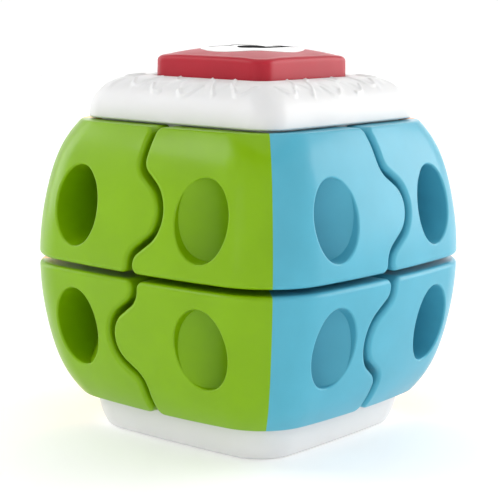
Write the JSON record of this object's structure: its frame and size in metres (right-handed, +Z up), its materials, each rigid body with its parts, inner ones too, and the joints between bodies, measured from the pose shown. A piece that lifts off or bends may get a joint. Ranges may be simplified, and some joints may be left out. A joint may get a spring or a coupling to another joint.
{
  "type": "baby activity cube",
  "caption": "Bulged activity cube of interlocking two-colour corner bricks round a white core, with a domed white cap, square red push button and white plinth.",
  "frame": {"origin": "centre of the base's underside, on the surface it stands on", "axes": "+Z up; the green front looks along -Y and the blue side along +X"},
  "size_m": [0.1554, 0.1554, 0.17],
  "materials": {
    "green_plastic": "smooth satin-gloss moulded ABS",
    "blue_plastic": "smooth satin-gloss moulded ABS",
    "orange_plastic": "smooth satin-gloss moulded ABS",
    "yellow_plastic": "smooth satin-gloss moulded ABS",
    "white_plastic": "satin moulded ABS",
    "red_plastic": "satin moulded ABS",
    "grey_plastic": "matte moulded ABS",
    "label_print": "printed and varnished film",
    "screw_steel": "zinc plated",
    "contact_steel": "nickel plated spring steel",
    "cell_jacket": "shrink sleeve",
    "lead_jacket": "pvc insulation",
    "speaker_black": "paper and pressed steel",
    "board_green": "solder resist",
    "chip_black": "moulded epoxy"
  },
  "bodies": {
    "core": {"base_plinth": "white_plastic", "bottom_plate": "white_plastic", "battery_door": "white_plastic", "door_screw": "screw_steel", "battery_box": "grey_plastic", "batteries": "cell_jacket", "battery_contacts": "contact_steel", "battery_leads": "lead_jacket", "speaker": "speaker_black", "speaker_leads": "lead_jacket", "column_screws": "screw_steel", "core_column": "white_plastic", "circuit_board": "board_green", "board_screws": "screw_steel", "sound_chip": "chip_black", "tact_switch": "chip_black", "cap_screws": "screw_steel", "top_cap": "white_plastic", "button_spring": "contact_steel"},
    "button": {"push_button": "red_plastic", "button_label": "label_print"},
    "switch": {"power_switch": "grey_plastic"},
    "upper_front_right_brick": {"upper_front_right_green_shell": "green_plastic", "upper_front_right_blue_shell": "blue_plastic", "upper_front_right_cover": "grey_plastic"},
    "lower_front_right_brick": {"lower_front_right_green_shell": "green_plastic", "lower_front_right_blue_shell": "blue_plastic", "lower_front_right_cover": "grey_plastic"},
    "upper_back_right_brick": {"upper_back_right_blue_shell": "blue_plastic", "upper_back_right_orange_shell": "orange_plastic", "upper_back_right_cover": "grey_plastic"},
    "lower_back_right_brick": {"lower_back_right_blue_shell": "blue_plastic", "lower_back_right_orange_shell": "orange_plastic", "lower_back_right_cover": "grey_plastic"},
    "upper_back_left_brick": {"upper_back_left_orange_shell": "orange_plastic", "upper_back_left_yellow_shell": "yellow_plastic", "upper_back_left_cover": "grey_plastic"},
    "lower_back_left_brick": {"lower_back_left_orange_shell": "orange_plastic", "lower_back_left_yellow_shell": "yellow_plastic", "lower_back_left_cover": "grey_plastic"},
    "upper_front_left_brick": {"upper_front_left_yellow_shell": "yellow_plastic", "upper_front_left_green_shell": "green_plastic", "upper_front_left_cover": "grey_plastic"},
    "lower_front_left_brick": {"lower_front_left_yellow_shell": "yellow_plastic", "lower_front_left_green_shell": "green_plastic", "lower_front_left_cover": "grey_plastic"}
  },
  "joints": [
    {"name": "upper_front_right_pull", "type": "slide", "parent": "core", "child": "upper_front_right_brick", "axis": [0.7071, -0.7071, 0], "range_m": [0, 0.06]},
    {"name": "lower_front_right_pull", "type": "slide", "parent": "core", "child": "lower_front_right_brick", "axis": [0.7071, -0.7071, 0], "range_m": [0, 0.06]},
    {"name": "upper_back_right_pull", "type": "slide", "parent": "core", "child": "upper_back_right_brick", "axis": [0.7071, 0.7071, 0], "range_m": [0, 0.06]},
    {"name": "lower_back_right_pull", "type": "slide", "parent": "core", "child": "lower_back_right_brick", "axis": [0.7071, 0.7071, 0], "range_m": [0, 0.06]},
    {"name": "upper_back_left_pull", "type": "slide", "parent": "core", "child": "upper_back_left_brick", "axis": [-0.7071, 0.7071, 0], "range_m": [0, 0.06]},
    {"name": "lower_back_left_pull", "type": "slide", "parent": "core", "child": "lower_back_left_brick", "axis": [-0.7071, 0.7071, 0], "range_m": [0, 0.06]},
    {"name": "upper_front_left_pull", "type": "slide", "parent": "core", "child": "upper_front_left_brick", "axis": [-0.7071, -0.7071, 0], "range_m": [0, 0.06]},
    {"name": "lower_front_left_pull", "type": "slide", "parent": "core", "child": "lower_front_left_brick", "axis": [-0.7071, -0.7071, 0], "range_m": [0, 0.06]},
    {"name": "button_press", "type": "slide", "parent": "core", "child": "button", "axis": [0, 0, -1], "range_m": [0, 0.002], "stiffness_N_per_m": 400, "springref_m": -0.005, "deforming": ["button_spring"]},
    {"name": "power_slide", "type": "slide", "parent": "core", "child": "switch", "axis": [0, 1, 0], "range_m": [0, 0.004]}
  ]
}
